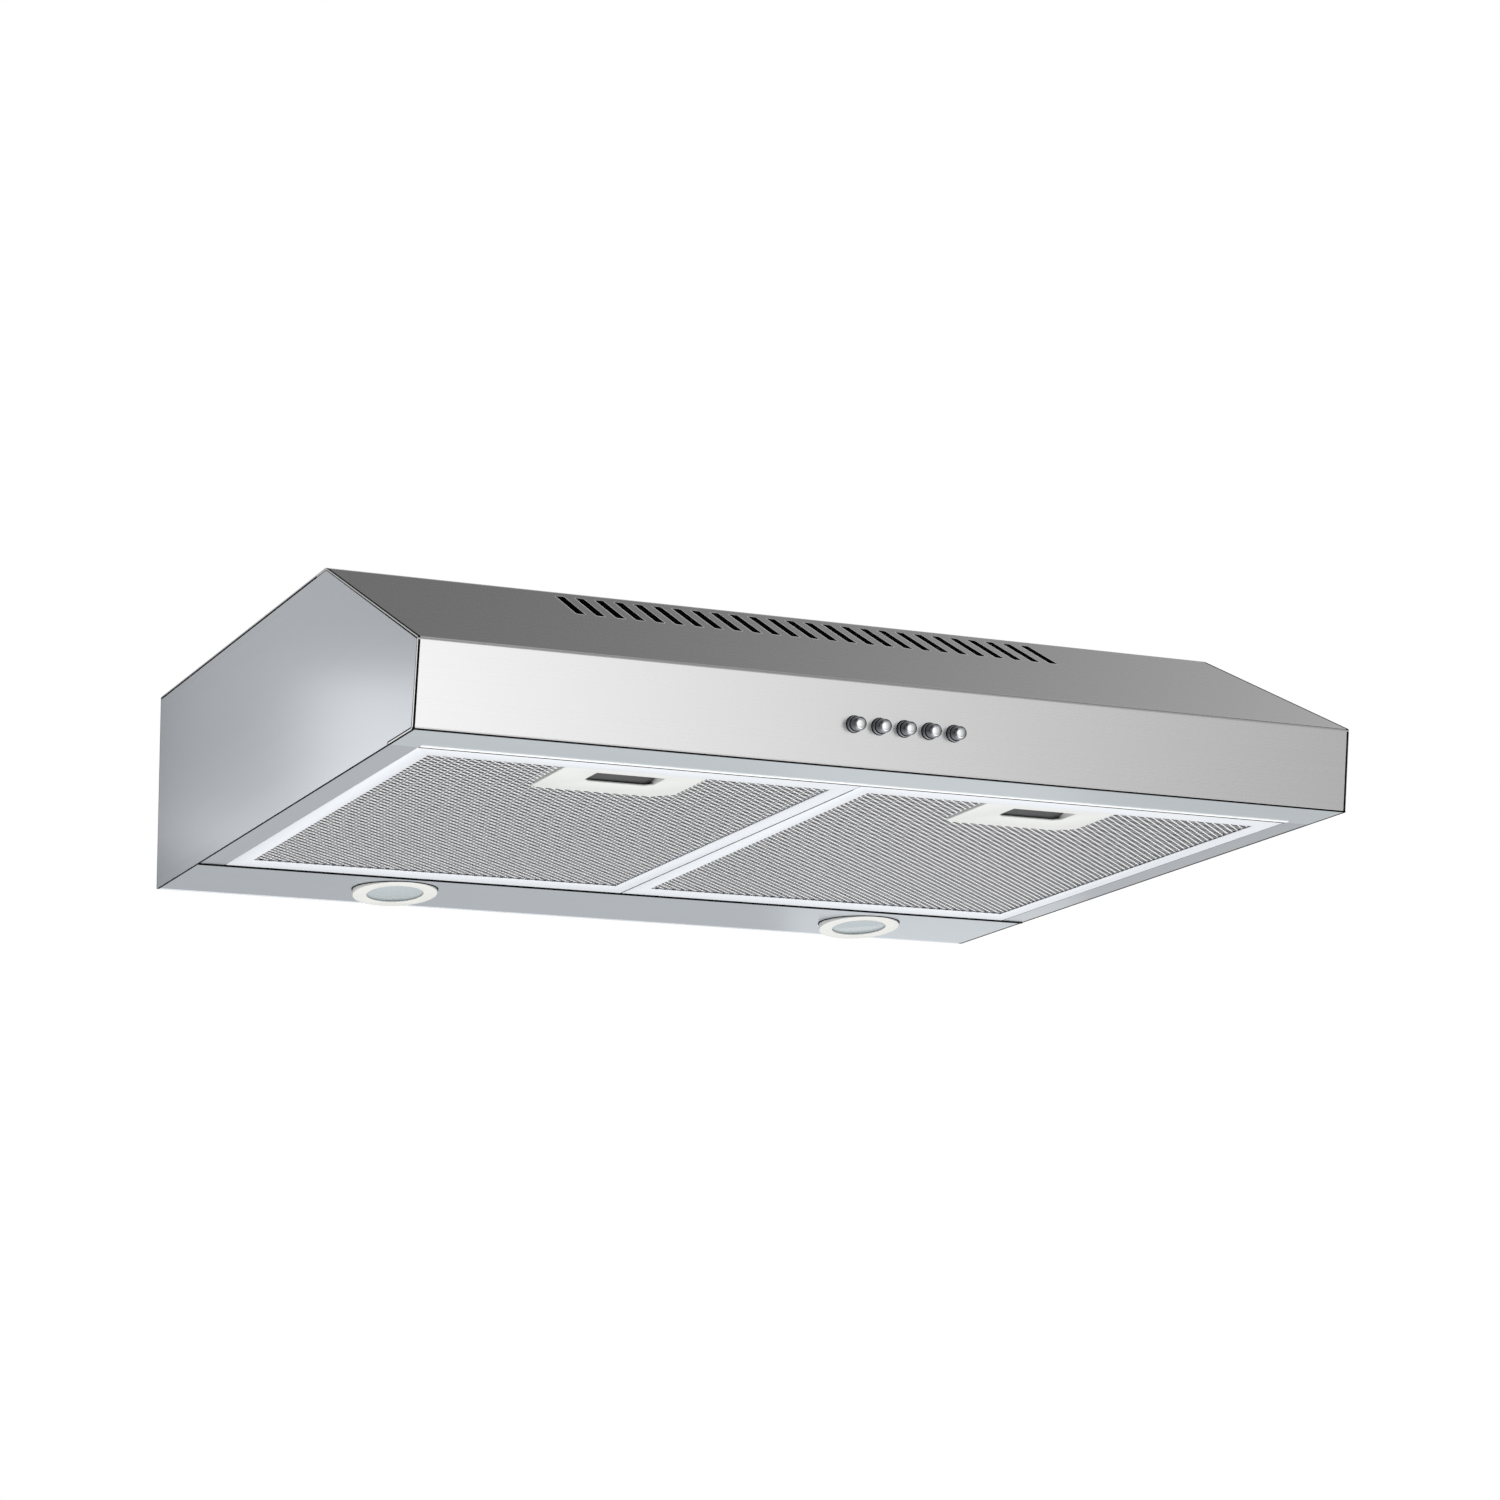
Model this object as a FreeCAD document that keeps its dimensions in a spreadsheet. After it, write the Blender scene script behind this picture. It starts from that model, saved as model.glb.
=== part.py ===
"""Under-cabinet range hood, 600 mm wide, built from separate pieces.

Axes: +X to the hood's right as seen from the front, +Y to the wall, +Z up.
Origin: middle of the hood's top rear edge, where cabinet, wall and hood meet.
"""

import FreeCAD, Part  # noqa: E401  FreeCAD has to come first

import math
import os

import Sketcher

DIMENSIONS = {
    # canopy
    "width": 600, "depth": 505, "height": 130, "top_depth": 345,
    "fascia_height": 50, "fascia_setback": 8.3, "sheet": 0.8, "bend": 1.2,
    "seam": 0.4, "lip_depth": 39.7, "hem": 12, "side_flange": 17.5, "tab": 16,
    "lamp_panel_depth": 93, "pan_rise": 13,
    # air vents in the sloping visor
    "vent_count": 26, "vent_pitch": 12.65, "vent_width": 5.6, "vent_run": 46,
    "vent_start": 11, "vent_slant": 5, "vent_shift": -1.5,
    # push buttons
    "button_pitch": 16.1, "button_shift": -2.5, "button_radius": 4, "button_face": 9.5,
    "button_gap": 0.3, "ferrule_radius": 4.85, "ferrule_stand": 2.4, "stem_radius": 2.4,
    # grease filters
    "filter_seam": -8, "filter_gap": 0.6, "filter_thick": 8.8, "hinge_gap": 1,
    "border_side": 12, "border_front": 16.5, "border_rear": 20, "channel": 7,
    "mesh_thick": 0.5, "corrugation": 12, "tab_width": 14,
    # filter latches
    "latch_left": -143, "latch_right": 128.5, "latch_width": 88, "latch_length": 57,
    "recess_width": 43, "recess_length": 23, "tongue_width": 16, "tongue_thick": 1.6,
    # lamps
    "lamp_left_x": -153.4, "lamp_left_y": -55, "lamp_right_x": 192, "lamp_right_y": -50.5,
    "bezel_radius": 28, "bezel_front": 0.5, "lens_opening": 18.8, "lens_radius": 19.8,
    "lens_thick": 2.4, "lens_recess": 1, "lamp_neck": 24, "lamp_tilt": 6,
    # blower
    "blower_y": -143, "blower_z": -55, "tub_radius": 60, "tub_half": 75, "tub_wall": 1.6,
    "wheel_y": -148, "wheel_z": -58, "wheel_radius": 42, "wheel_length": 40, "blade_count": 30,
    "motor_radius": 30, "motor_half": 26, "shaft_radius": 4, "inlet_radius": 36,
    # exhaust collar and backdraft flaps
    "spigot_radius": 60, "spigot_wall": 1.2, "spigot_height": 25, "collar_flange": 1.5,
    "roof_hole_x": 64, "roof_hole_y": 62, "collar_rim": 12,
    "flap_pin_y": 3.2, "flap_pin_z": 3.9, "flap_pin_radius": 1.5, "flap_thick": 1,
    # fixing holes and cable inlet
    "cabinet_hole_x": 250, "cabinet_hole_front": -290, "cabinet_hole_rear": -60,
    "cabinet_hole_radius": 2.75, "wall_hole_x": 220, "wall_hole_z": -30, "wall_hole_radius": 3,
    "inlet_x": 182, "inlet_y": -52, "gland_radius": 8, "cable_radius": 3.7, "gland_length": 14,
}

doc = FreeCAD.newDocument("range_hood")
sheet = doc.addObject("Spreadsheet::Sheet", "dims")
for row, (alias, number) in enumerate(DIMENSIONS.items(), start=1):
    sheet.set(f"A{row}", alias)
    sheet.set(f"B{row}", str(number))
    sheet.setAlias(f"B{row}", alias)
doc.recompute()

V = FreeCAD.Vector
Constraint = Sketcher.Constraint
X, Y, Z = V(1, 0, 0), V(0, 1, 0), V(0, 0, 1)


# ---------------------------------------------------------------- sizes

class Size:
    """A number that remembers the spreadsheet expression it comes from."""

    def __init__(self, value, text):
        self.value = value
        self.text = text

    def __add__(self, other):
        other = size(other)
        return Size(self.value + other.value, f"({self.text} + {other.text})")

    def __sub__(self, other):
        other = size(other)
        return Size(self.value - other.value, f"({self.text} - {other.text})")

    def __mul__(self, other):
        other = size(other)
        return Size(self.value * other.value, f"({self.text} * {other.text})")

    def __truediv__(self, other):
        other = size(other)
        return Size(self.value / other.value, f"({self.text} / {other.text})")

    def __neg__(self):
        return Size(-self.value, f"(0 - {self.text})")

    def __radd__(self, other):
        return size(other) + self

    def __rsub__(self, other):
        return size(other) - self

    def __rmul__(self, other):
        return size(other) * self


def size(number):
    """A Size from a Size or a plain number."""
    if isinstance(number, Size):
        return number
    return Size(float(number), f"({float(number)})")


class Dimensions:
    """The spreadsheet's cells, each read by its alias as a Size."""

    def __getattr__(self, alias):
        return Size(float(sheet.get(alias)), f"dims.{alias}")


d = Dimensions()


def bind(thing, path, number):
    thing.setExpression(path, size(number).text)


# ---------------------------------------------------------------- solids from primitives

finished = {}


def name_node(label, thing):
    """Make a finished object one of the hood's named pieces."""
    thing.Label = label
    finished[label] = thing
    return thing


def place(thing, position, axis=X, angle=None):
    """Put an object at a position, turned by an angle in degrees about an axis."""
    if angle is not None:
        thing.Placement = FreeCAD.Placement(V(), FreeCAD.Rotation(axis, 1))
        bind(thing, "Placement.Rotation.Angle", angle)
    for letter, number in zip("xyz", position):
        bind(thing, f"Placement.Base.{letter}", number)
    return thing


def block(low, high):
    """A box between two corners."""
    thing = doc.addObject("Part::Box", "block")
    for prop, start, end in zip(("Length", "Width", "Height"), low, high):
        bind(thing, prop, size(end) - start)
    return place(thing, low)


def drum(centre, radius, length, along="z"):
    """A cylinder that starts at centre and runs along +Z or +X."""
    thing = doc.addObject("Part::Cylinder", "drum")
    bind(thing, "Radius", radius)
    bind(thing, "Height", length)
    if along == "x":
        return place(thing, centre, Y, 90)
    return place(thing, centre)


def fuse(*things):
    if len(things) == 1:
        return things[0]
    thing = doc.addObject("Part::MultiFuse", "fuse")
    thing.Shapes = list(things)
    return thing


def cut(base, *tools):
    thing = doc.addObject("Part::Cut", "cut")
    thing.Base = base
    thing.Tool = fuse(*tools)
    return thing


def common(first, second):
    thing = doc.addObject("Part::Common", "common")
    thing.Base = first
    thing.Tool = second
    return thing


def group(*things):
    """Separate solids that share one node."""
    thing = doc.addObject("Part::Compound", "group")
    thing.Links = list(things)
    return thing


def tube(centre, outer, inner, length, along="z"):
    return cut(drum(centre, outer, length, along), drum(centre, inner, length, along))


# ---------------------------------------------------------------- solids from sketches

def new_body(label):
    return name_node(label, doc.addObject("PartDesign::Body", label))


def new_sketch(body, role, offset=0):
    """A sketch on one of the body's origin planes, offset along the plane's normal."""
    sketch = body.newObject("Sketcher::SketchObject", "sketch")
    plane = next(f for f in body.Origin.OriginFeatures if f.Role == role)
    sketch.AttachmentSupport = [(plane, "")]
    sketch.MapMode = "FlatFace"
    bind(sketch, "AttachmentOffset.Base.z", offset)
    return sketch


def constrain(sketch, kind, *args, number=None):
    """Add a constraint, and bind it when it is a dimension."""
    if number is None:
        sketch.addConstraint(Constraint(kind, *args))
        return
    index = sketch.addConstraint(Constraint(kind, *args, size(number).value))
    bind(sketch, f"Constraints[{index}]", number)


def add_outline(sketch, points):
    """A closed outline of straight lines, each corner fixed by two dimensions."""
    first = sketch.GeometryCount
    spots = [V(size(a).value, size(b).value, 0) for a, b in points]
    for start, end in zip(spots, spots[1:] + spots[:1]):
        sketch.addGeometry(Part.LineSegment(start, end), False)
    count = len(points)
    for i, (a, b) in enumerate(points):
        constrain(sketch, "Coincident", first + i, 2, first + (i + 1) % count, 1)
        constrain(sketch, "DistanceX", -1, 1, first + i, 1, number=a)
        constrain(sketch, "DistanceY", -1, 1, first + i, 1, number=b)
    return sketch


def add_rectangle(sketch, low, high):
    corners = [(low[0], low[1]), (high[0], low[1]), (high[0], high[1]), (low[0], high[1])]
    return add_outline(sketch, corners)


def add_circle(sketch, a, b, radius):
    index = sketch.addGeometry(Part.Circle(V(size(a).value, size(b).value, 0), Z, size(radius).value), False)
    constrain(sketch, "Radius", index, number=radius)
    constrain(sketch, "DistanceX", -1, 1, index, 3, number=a)
    constrain(sketch, "DistanceY", -1, 1, index, 3, number=b)
    return sketch


def extrude(body, kind, sketch, length, reverse=False, both_ways=False):
    """A Pad or Pocket of a given length; a Pocket that removes nothing is an error."""
    before = body.Tip.Shape.Volume if body.Tip else 0
    feature = body.newObject(f"PartDesign::{kind}", kind.lower())
    feature.Profile = sketch
    bind(feature, "Length", length)
    feature.Reversed = reverse
    if both_ways:
        feature.SideType = "Symmetric"
    doc.recompute()
    after = feature.Shape.Volume
    if kind == "Pocket" and after > before - 1e-3:
        raise RuntimeError(f"a pocket of {body.Label} removes nothing")
    return feature


def pad(body, sketch, length, reverse=False, both_ways=False):
    return extrude(body, "Pad", sketch, length, reverse, both_ways)


def pocket(body, sketch, length, reverse=False, both_ways=False):
    return extrude(body, "Pocket", sketch, length, reverse, both_ways)


def mitred(points, thickness):
    """The corners of a second polyline, one sheet thickness to the left of the first."""
    result = []
    for i, spot in enumerate(points):
        ways = [(b - a).normalize() for a, b in zip(points, points[1:])][max(i - 1, 0):i + 1]
        normals = [V(-way.y, way.x, 0) for way in ways]
        middle = sum(normals, V()).normalize()
        result.append(spot + middle * (thickness / middle.dot(normals[0])))
    return result


def folded_sheet(body, role, points, length):
    """Sheet metal bent along a polyline: points give its outer side, the metal lies to their left."""
    outer = [V(size(a).value, size(b).value, 0) for a, b in points]
    inner = mitred(outer, d.sheet.value)
    loop = outer + inner[::-1]
    sketch = new_sketch(body, role)
    for start, end in zip(loop, loop[1:] + loop[:1]):
        sketch.addGeometry(Part.LineSegment(start, end), False)
    count, last = len(loop), len(points) - 1
    for i in range(count):
        constrain(sketch, "Coincident", i, 2, (i + 1) % count, 1)
    for i, (a, b) in enumerate(points):
        constrain(sketch, "DistanceX", -1, 1, i, 1, number=a)
        constrain(sketch, "DistanceY", -1, 1, i, 1, number=b)
    constrain(sketch, "Perpendicular", last - 1, last)
    constrain(sketch, "Perpendicular", 0, count - 1)
    for i in range(last):
        opposite = count - 2 - i
        constrain(sketch, "Parallel", i, opposite)
        constrain(sketch, "Distance", opposite, 1, i, number=d.sheet)
    pad(body, sketch, length, both_ways=True)
    ways = [(end - start).normalize() for start, end in zip(outer, outer[1:])]
    tight, wide = [], []
    for i in range(1, last):
        turns_to_metal = ways[i - 1].cross(ways[i]).z > 0
        wide.append(outer[i] if turns_to_metal else inner[i])
        tight.append(inner[i] if turns_to_metal else outer[i])
    round_folds(body, sketch, tight, d.bend)
    round_folds(body, sketch, wide, d.bend + d.sheet)


def round_folds(body, sketch, corners, radius):
    """Fillet the long edges that run through the given corners of a folded sheet's section."""
    base = body.Tip
    spots = [sketch.Placement.multVec(corner) for corner in corners]
    normal = sketch.Placement.Rotation.multVec(Z)
    names = []
    for i, edge in enumerate(base.Shape.Edges, start=1):
        middle = edge.CenterOfMass
        flat = [(middle - spot) - normal * (middle - spot).dot(normal) for spot in spots]
        if edge.Length > 20 and min(gap.Length for gap in flat) < 0.01:
            names.append(f"Edge{i}")
    fillet = body.newObject("PartDesign::Fillet", "folds")
    fillet.Base = (base, names)
    bind(fillet, "Radius", radius)
    doc.recompute()


# ---------------------------------------------------------------- main levels

half = d.width / 2
floor = -d.height                                # underside of the hood
crease = floor + d.fascia_height                 # where the visor meets the fascia
toe = -d.depth + d.fascia_setback                # front edge of the underside
lip_rear = toe + d.lip_depth                     # rear edge of the front lip
pan_front = -d.lamp_panel_depth                  # front edge of the lamp panel
filter_top = floor + d.filter_thick
fascia_y = -d.depth + d.fascia_setback / 2       # middle of the fascia
fascia_z = crease - d.fascia_height / 2
fascia_turn = Size(
    90 + math.degrees(math.atan(d.fascia_setback.value / d.fascia_height.value)),
    "(90 deg + atan(dims.fascia_setback / dims.fascia_height))",
)                                                # turns +Z to the fascia's outward normal
LATCHES = {"left": d.latch_left, "right": d.latch_right}
LAMPS = {"left": (d.lamp_left_x, d.lamp_left_y), "right": (d.lamp_right_x, d.lamp_right_y)}
BUTTONS = ("lamp_button", "stop_button", "low_speed_button", "medium_speed_button", "high_speed_button")


def button_x(index):
    return d.button_shift + d.button_pitch * (index - 2)


def on_fascia(thing, across=0):
    """Turn an object built along +Z so that it points out of the fascia's middle line."""
    return place(thing, (across, fascia_y, fascia_z), X, fascia_turn)


# ---------------------------------------------------------------- canopy

def front_canopy():
    """One folded sheet: tab under the top plate, visor, fascia, bottom lip and its hem."""
    body = new_body("front_canopy")
    slope = d.sheet * (d.depth - d.top_depth) / (d.height - d.fascia_height)
    visor_top = (-d.top_depth - slope, -d.sheet)
    outline = [
        (-d.top_depth + d.tab, -d.sheet), visor_top, (-d.depth, crease),
        (toe, floor), (lip_rear, floor), (lip_rear, floor + d.hem),
    ]
    folded_sheet(body, "YZ_Plane", outline, d.width)

    vents = new_sketch(body, "XY_Plane")
    left = d.vent_shift - d.vent_pitch * (d.vent_count - 1) / 2 - d.vent_width / 2
    near = -d.top_depth - d.vent_start
    far = near - d.vent_run
    add_outline(vents, [
        (left + d.vent_slant / 2, near), (left - d.vent_slant / 2, far),
        (left - d.vent_slant / 2 + d.vent_width, far), (left + d.vent_slant / 2 + d.vent_width, near),
    ])
    slot = pocket(body, vents, 40)
    row_of_vents = body.newObject("PartDesign::LinearPattern", "row_of_vents")
    row_of_vents.Originals = [slot]
    row_of_vents.Direction = (vents, ["H_Axis"])
    row_of_vents.Mode = "Spacing"
    bind(row_of_vents, "Offset", d.vent_pitch)
    bind(row_of_vents, "Occurrences", d.vent_count)
    body.Tip = row_of_vents
    doc.recompute()

    holes = new_sketch(body, "XZ_Plane", -fascia_y)
    for i in range(len(BUTTONS)):
        add_circle(holes, button_x(i), fascia_z, d.ferrule_radius - 0.2)
    pocket(body, holes, 8, both_ways=True)

    strikes = new_sketch(body, "XZ_Plane", -lip_rear)
    for latch in LATCHES.values():
        reach = d.tongue_width / 2 + 0.6
        add_rectangle(strikes, (latch - reach, floor + 4.2), (latch + reach, floor + 7))
    pocket(body, strikes, 4, both_ways=True)

    ends = new_sketch(body, "XY_Plane", floor + d.sheet)
    for side in (-1, 1):
        inner, outer = side * (half - d.side_flange), side * (half + 1)
        add_rectangle(ends, (inner, lip_rear - 3), (outer, lip_rear + 1))
    pocket(body, ends, d.hem + 2, reverse=True)


def side_panels():
    """A flat side with a flange that turns in under the hood beside the filters."""
    for name, side in (("left", -1), ("right", 1)):
        body = new_body(f"{name}_side_panel")
        edge = d.sheet + d.seam
        top = -d.sheet * 2 - d.seam
        wall = new_sketch(body, "YZ_Plane", side * half)
        add_outline(wall, [
            (-edge, top), (-d.top_depth - 1.2, top), (-d.depth + 1.5, crease - 1.2),
            (toe + 1.6, floor + 1.6), (lip_rear + d.seam, floor + 1.6), (lip_rear + d.seam, floor),
            (-edge, floor),
        ])
        pad(body, wall, d.sheet, reverse=side > 0)
        flange = new_sketch(body, "XY_Plane", floor)
        across = sorted((side * half, side * (half - d.side_flange)), key=lambda s: s.value)
        add_rectangle(flange, (across[0], lip_rear + d.seam), (across[1], pan_front - 1))
        pad(body, flange, d.sheet)


def top_plate():
    """Flat roof with the exhaust opening, the cable inlet hole and four cabinet screw holes."""
    body = new_body("top_plate")
    roof = new_sketch(body, "XY_Plane")
    add_rectangle(roof, (-half, -d.top_depth), (half, 0))
    pad(body, roof, d.sheet, reverse=True)
    holes = new_sketch(body, "XY_Plane")
    add_rectangle(holes, (-d.roof_hole_x, d.blower_y - d.roof_hole_y), (d.roof_hole_x, d.blower_y + d.roof_hole_y))
    add_circle(holes, d.inlet_x, d.inlet_y, d.gland_radius + 0.1)
    for side in (-1, 1):
        for along in (d.cabinet_hole_front, d.cabinet_hole_rear):
            add_circle(holes, side * d.cabinet_hole_x, along, d.cabinet_hole_radius)
    pocket(body, holes, d.sheet * 2)


def back_panel():
    """Flat rear wall with two screw holes."""
    body = new_body("back_panel")
    wall = new_sketch(body, "XZ_Plane")
    add_rectangle(wall, (-half, floor), (half, -d.sheet))
    pad(body, wall, d.sheet)
    holes = new_sketch(body, "XZ_Plane")
    for side in (-1, 1):
        add_circle(holes, side * d.wall_hole_x, d.wall_hole_z, d.wall_hole_radius)
    pocket(body, holes, d.sheet * 2, reverse=True)


def lamp_panel():
    """Rear underside pan with two lamp holes, and slots in its front rise for the filter tabs."""
    body = new_body("lamp_panel")
    rear = -d.sheet - 0.2
    inside = d.width - (d.sheet + 0.2) * 2
    rise = floor + d.pan_rise
    folded_sheet(body, "YZ_Plane", [(pan_front, rise), (pan_front, floor), (rear, floor), (rear, rise)], inside)
    holes = new_sketch(body, "XY_Plane", floor)
    for across, along in LAMPS.values():
        add_circle(holes, across, along, d.lamp_neck + 0.4)
    pocket(body, holes, d.sheet * 4, both_ways=True)
    slots = new_sketch(body, "XZ_Plane", -pan_front)
    for across in filter_tabs("left") + filter_tabs("right"):
        reach = d.tab_width / 2 + 0.6
        add_rectangle(slots, (across - reach, floor + 1.9), (across + reach, floor + 4.9))
    pocket(body, slots, 4, both_ways=True)


def centre_rail():
    """Hat rail above the seam between the two filters."""
    body = new_body("centre_rail")
    low = filter_top + 0.3
    high = low + 3.4
    foot, crown = 20, 7
    middle = d.filter_seam
    outline = [
        (middle - foot, low), (middle - crown, low), (middle - crown, high),
        (middle + crown, high), (middle + crown, low), (middle + foot, low),
    ]
    folded_sheet(body, "XZ_Plane", outline, pan_front - lip_rear - 0.4)
    place(body, (0, (pan_front + lip_rear) / 2, 0))


# ---------------------------------------------------------------- filters

def filter_box(name):
    """Outer corners of a filter: low x, low y, high x, high y."""
    inner_edge = half - d.side_flange - d.filter_gap
    near, far = lip_rear + d.filter_gap, pan_front - d.hinge_gap * 2
    if name == "left":
        return -inner_edge, near, d.filter_seam - 0.4, far
    return d.filter_seam + 0.4, near, inner_edge, far


def filter_window(name):
    """Corners of the opening inside a filter's aluminium border."""
    x0, y0, x1, y1 = filter_box(name)
    return x0 + d.border_side, y0 + d.border_front, x1 - d.border_side, y1 - d.border_rear


def filter_tabs(name):
    x0, _, x1, _ = filter_box(name)
    return [x0 + 50, x1 - 50]


def latch_frame(name):
    """Low y and high y of a latch plate, which butts against the front border."""
    start = filter_window(name)[1] + 0.2
    return start, start + d.latch_length


def filter_frame(name):
    """Channel border with a latch slot in front and two tabs behind."""
    x0, y0, x1, y1 = filter_box(name)
    wx0, wy0, wx1, wy1 = filter_window(name)
    latch = LATCHES[name]
    border = cut(
        block((x0, y0, floor), (x1, y1, filter_top)),
        block((wx0, wy0, floor - 1), (wx1, wy1, filter_top + 1)),
        block((wx0 - d.channel, wy0 - d.channel, floor + d.sheet),
              (wx1 + d.channel, wy1 + d.channel, filter_top - d.sheet)),
        block((latch - d.tongue_width / 2 - 0.5, y0 - 1, floor + 4.4),
              (latch + d.tongue_width / 2 + 0.5, wy0 + 1, floor + 6.8)),
    )
    tabs = [
        block((across - d.tab_width / 2, y1 - 1, floor + 2.5),
              (across + d.tab_width / 2, y1 + 4, floor + 3.3))
        for across in filter_tabs(name)
    ]
    name_node(f"{name}_filter_frame", fuse(border, *tabs))


def filter_layer(label, name, low, high):
    """One flat layer of the filter pack, notched around the latch plate."""
    wx0, wy0, wx1, wy1 = filter_window(name)
    latch = LATCHES[name]
    body = new_body(label)
    outline = new_sketch(body, "XY_Plane", low)
    tuck = d.channel - 0.2
    far = latch_frame(name)[1] + 0.2
    reach = d.latch_width / 2 + 0.2
    add_outline(outline, [
        (wx0 - tuck, wy0 - tuck), (latch - reach, wy0 - tuck), (latch - reach, far), (latch + reach, far),
        (latch + reach, wy0 - tuck), (wx1 + tuck, wy0 - tuck), (wx1 + tuck, wy1 + tuck), (wx0 - tuck, wy1 + tuck),
    ])
    pad(body, outline, size(high) - low)


def filter_core(name, low, high):
    """Corrugated foil between the two mesh layers, notched around the latch plate."""
    wx0, wy0, wx1, wy1 = filter_window(name)
    body = new_body(f"{name}_filter_core")
    fold = new_sketch(body, "XZ_Plane", -(wy0 + wy1) / 2)
    start, pitch, foil = wx0 - d.channel + 1, d.corrugation, d.mesh_thick
    top = size(high)
    add_outline(fold, [
        (start, low), (start + pitch / 2, top - foil), (start + pitch, low),
        (start + pitch, size(low) + foil), (start + pitch / 2, top), (start, size(low) + foil),
    ])
    ridge = pad(body, fold, wy1 - wy0 + d.channel * 2 - 1, both_ways=True)
    folds = body.newObject("PartDesign::LinearPattern", "row_of_folds")
    folds.Originals = [ridge]
    folds.Direction = (fold, ["H_Axis"])
    count = math.floor((wx1 - wx0 + d.channel * 2 - 2).value / pitch.value)
    bind(folds, "Length", pitch * (count - 1))
    folds.Occurrences = count
    body.Tip = folds
    doc.recompute()
    latch = LATCHES[name]
    notch = new_sketch(body, "XY_Plane", low)
    reach = d.latch_width / 2 + 0.2
    add_rectangle(notch, (latch - reach, wy0 - d.channel - 1), (latch + reach, latch_frame(name)[1] + 0.2))
    pocket(body, notch, (filter_top - floor) * 3, both_ways=True)


def latch_plate(name):
    """Plastic plate with a finger recess, hollow inside for the sliding latch."""
    latch = LATCHES[name]
    near, far = latch_frame(name)
    low, high = floor + 0.3, filter_top - 1.2
    left, right = latch - d.latch_width / 2, latch + d.latch_width / 2
    body = new_body(f"{name}_latch_plate")
    outline = new_sketch(body, "XY_Plane", low)
    add_outline(outline, [
        (left, near), (right, near), (right, far - 9), (right - 12, far), (left + 4, far), (left, far - 3),
    ])
    pad(body, outline, high - low)
    mouth_near = near + 8.5
    reach = d.recess_width / 2
    mouth = new_sketch(body, "XY_Plane", low)
    add_outline(mouth, [
        (latch - reach, mouth_near), (latch + reach, mouth_near),
        (latch + reach, mouth_near + d.recess_length - 4), (latch + reach - 4, mouth_near + d.recess_length),
        (latch - reach + 4, mouth_near + d.recess_length), (latch - reach, mouth_near + d.recess_length - 4),
    ])
    pocket(body, mouth, 6.4, reverse=True)
    cavity = new_sketch(body, "XY_Plane", low + 1.2)
    add_rectangle(cavity, (latch - reach, mouth_near), (latch + reach, mouth_near + d.recess_length + 9))
    pocket(body, cavity, 5.2, reverse=True)
    way = new_sketch(body, "XY_Plane", floor + 4.3)
    reach = d.tongue_width / 2 + 0.5
    add_rectangle(way, (latch - reach, near - 1), (latch + reach, mouth_near + 1))
    pocket(body, way, 2.4, reverse=True)


def latch_slider(name):
    """Tongue that reaches through the border into the lip's hem, with a sloping finger grip."""
    latch = LATCHES[name]
    near = latch_frame(name)[0] + 8.5
    low = floor + 4.8
    body = new_body(f"{name}_latch_slider")
    tongue = new_sketch(body, "XY_Plane", low)
    tip = lip_rear - 4
    reach = d.tongue_width / 2
    add_outline(tongue, [
        (latch - reach, tip + 2), (latch - reach + 2, tip), (latch + reach - 2, tip), (latch + reach, tip + 2),
        (latch + reach, near + 12), (latch - reach, near + 12),
    ])
    pad(body, tongue, d.tongue_thick)
    grip = new_sketch(body, "YZ_Plane", latch)
    add_outline(grip, [
        (near + 9.6, low + d.tongue_thick), (near + 9.6, low), (near + 22.5, floor + 1.9),
        (near + 24.5, floor + 1.9), (near + 24.5, low + d.tongue_thick),
    ])
    pad(body, grip, d.recess_width - 1, both_ways=True)


def filters():
    base = floor + d.sheet + 0.1
    skin = d.mesh_thick
    for name in LATCHES:
        filter_frame(name)
        filter_layer(f"{name}_filter_front_mesh", name, base, base + skin)
        filter_core(name, base + skin + 0.1, filter_top - d.sheet - skin - 0.2)
        filter_layer(f"{name}_filter_rear_mesh", name, filter_top - d.sheet - skin - 0.1, filter_top - d.sheet - 0.1)
        latch_plate(name)
        latch_slider(name)


# ---------------------------------------------------------------- buttons and switches

def push_button(label, index):
    """Domed round button on a thin stem, turned about its own axis."""
    body = new_body(label)
    sketch = new_sketch(body, "XZ_Plane")
    face, shoulder, tail, dome = d.button_face, -1.5, -20, 1.1
    add_outline(sketch, [
        (0, tail), (d.stem_radius, tail), (d.stem_radius, shoulder), (d.button_radius, shoulder),
        (d.button_radius, face - dome), (d.button_radius - 0.35, face - dome / 2),
        (d.button_radius - 1.2, face - 0.18), (0, face),
    ])
    turn = body.newObject("PartDesign::Revolution", "turn")
    turn.Profile = sketch
    turn.ReferenceAxis = (sketch, ["V_Axis"])
    turn.Angle = 360
    on_fascia(body, button_x(index))


def button_ferrules():
    """Five chrome collars set in the fascia around the buttons."""
    rings = []
    for i in range(len(BUTTONS)):
        lining = d.button_radius + d.button_gap
        collar = fuse(drum((0, 0, 0.05), d.ferrule_radius, d.ferrule_stand), drum((0, 0, -3), lining + 0.25, 4))
        rings.append(on_fascia(cut(collar, drum((0, 0, -4), lining, 10)), button_x(i)))
    name_node("button_ferrules", group(*rings))


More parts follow.
